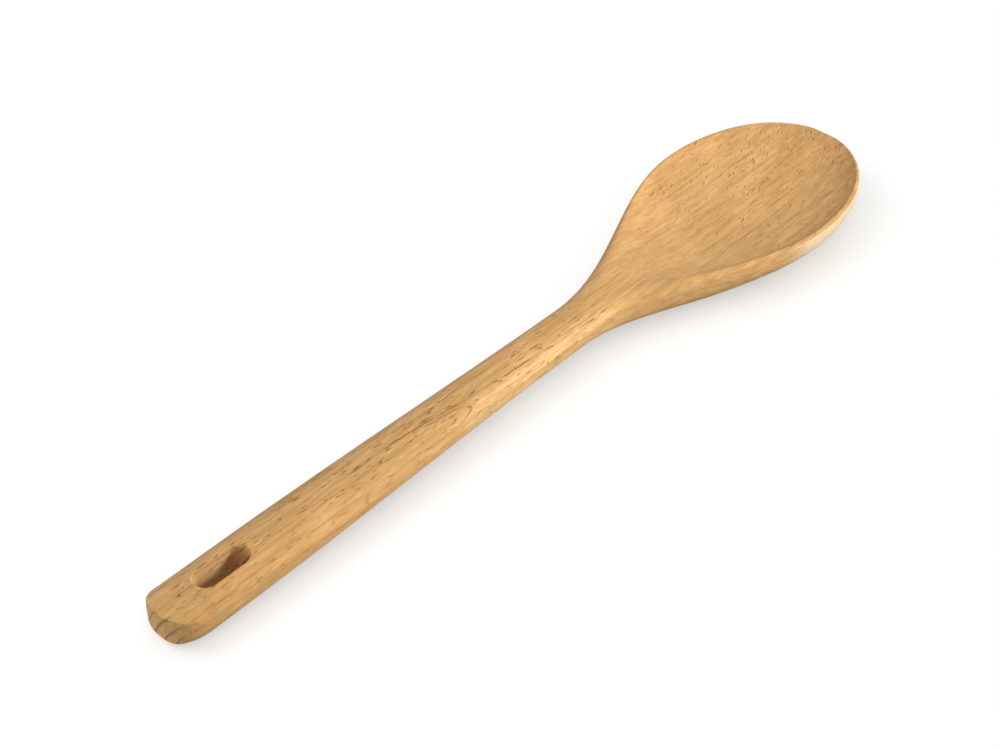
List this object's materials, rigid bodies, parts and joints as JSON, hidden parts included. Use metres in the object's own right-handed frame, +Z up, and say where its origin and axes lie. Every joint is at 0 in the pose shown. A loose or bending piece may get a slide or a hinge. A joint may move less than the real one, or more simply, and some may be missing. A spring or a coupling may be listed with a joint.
{
  "type": "wooden spoon",
  "caption": "Long-handled wooden cooking spoon with a shallow egg-shaped bowl and a hanging slot near the rounded end of its flat oval handle.",
  "frame": {"origin": "on the surface that the spoon lies on, below the middle of its length and width", "axes": "+X along the spoon from the handle's end to the bowl's tip, +Z up out of the bowl's hollow, +Y across the spoon"},
  "size_m": [0.305, 0.065, 0.0137],
  "materials": {
    "beech": "oiled, smooth sanded"
  },
  "bodies": {
    "root": {"spoon": "beech"}
  },
  "joints": []
}
